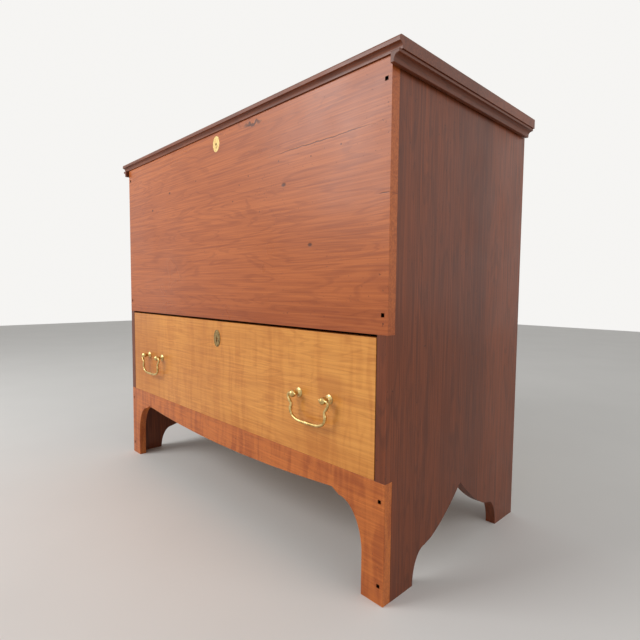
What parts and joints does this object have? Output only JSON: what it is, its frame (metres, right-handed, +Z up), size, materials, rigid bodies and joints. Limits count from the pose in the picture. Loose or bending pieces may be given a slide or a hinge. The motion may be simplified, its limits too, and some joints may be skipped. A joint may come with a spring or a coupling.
{
  "type": "mule chest",
  "caption": "Lidded chest with a long drawer below it, on bootjack sides and a bracket base, with swinging bail handles and locks.",
  "frame": {"origin": "middle of the footprint, on the floor", "axes": "+Z up, +X to the right along the front, the front with the drawer faces -Y"},
  "size_m": [0.99, 0.4848, 0.8453],
  "materials": {
    "side_pine": "dark red-brown shellac",
    "front_pine": "orange-brown shellac over pine",
    "base_pine": "orange-red shellac over curly pine",
    "lid_pine": "dark red-brown shellac",
    "drawer_maple": "golden shellac over figured maple",
    "inner_pine": "bare aged pine",
    "brass": "old polished brass",
    "dark_brass": "tarnished brass",
    "iron": "dark wrought iron"
  },
  "bodies": {
    "case": {"left_side_board": "side_pine", "right_side_board": "side_pine", "upper_front_board": "front_pine", "base_front_board": "base_pine", "lower_back_board": "inner_pine", "upper_back_board": "inner_pine", "well_floor_board": "inner_pine", "left_drawer_runner": "inner_pine", "right_drawer_runner": "inner_pine", "left_drawer_stop": "inner_pine", "right_drawer_stop": "inner_pine", "front_nail_1": "iron", "front_nail_2": "iron", "front_nail_3": "iron", "front_nail_4": "iron", "front_nail_5": "iron", "front_nail_6": "iron", "front_nail_7": "iron", "front_nail_8": "iron", "left_hinge_case_leaf": "iron", "right_hinge_case_leaf": "iron", "left_hinge_pin": "iron", "right_hinge_pin": "iron", "hinge_case_screw_1": "iron", "hinge_case_screw_2": "iron", "hinge_case_screw_3": "iron", "hinge_case_screw_4": "iron", "chest_lock_case": "dark_brass", "chest_escutcheon": "brass"},
    "lid": {"lid_board": "lid_pine", "left_lid_batten": "lid_pine", "right_lid_batten": "lid_pine", "chest_lock_keeper": "brass", "left_hinge_lid_leaf": "iron", "right_hinge_lid_leaf": "iron", "hinge_lid_screw_1": "iron", "hinge_lid_screw_2": "iron", "hinge_lid_screw_3": "iron", "hinge_lid_screw_4": "iron"},
    "chest_bolt": {"chest_lock_bolt": "iron"},
    "drawer": {"drawer_front": "drawer_maple", "drawer_left_side": "inner_pine", "drawer_right_side": "inner_pine", "drawer_back": "inner_pine", "drawer_bottom": "inner_pine", "drawer_lock_case": "dark_brass", "drawer_escutcheon": "dark_brass", "drawer_escutcheon_pin_1": "brass", "drawer_escutcheon_pin_2": "brass", "left_handle_left_post": "brass", "left_handle_right_post": "brass", "right_handle_left_post": "brass", "right_handle_right_post": "brass", "handle_nut_1": "dark_brass", "handle_nut_2": "dark_brass", "handle_nut_3": "dark_brass", "handle_nut_4": "dark_brass"},
    "drawer_bolt": {"drawer_lock_bolt": "iron"},
    "left_bail": {"left_handle_bail": "brass"},
    "right_bail": {"right_handle_bail": "brass"}
  },
  "joints": [
    {"name": "lid_hinge", "type": "hinge", "parent": "case", "child": "lid", "pos_m": [0, 0.2384, 0.827], "axis": [-1, 0, 0], "range_deg": [0, 95]},
    {"name": "drawer_slide", "type": "slide", "parent": "case", "child": "drawer", "axis": [0, -1, 0], "range_m": [0, 0.3]},
    {"name": "left_bail_swing", "type": "hinge", "parent": "drawer", "child": "left_bail", "pos_m": [-0.315, -0.2359, 0.305], "axis": [-1, 0, 0], "range_deg": [-12, 175]},
    {"name": "right_bail_swing", "type": "hinge", "parent": "drawer", "child": "right_bail", "pos_m": [0.315, -0.2359, 0.305], "axis": [-1, 0, 0], "range_deg": [-12, 175]},
    {"name": "chest_bolt_slide", "type": "slide", "parent": "case", "child": "chest_bolt", "axis": [0, 0, 1], "range_m": [0, 0.007]},
    {"name": "drawer_bolt_slide", "type": "slide", "parent": "drawer", "child": "drawer_bolt", "axis": [0, 0, 1], "range_m": [0, 0.012]}
  ]
}
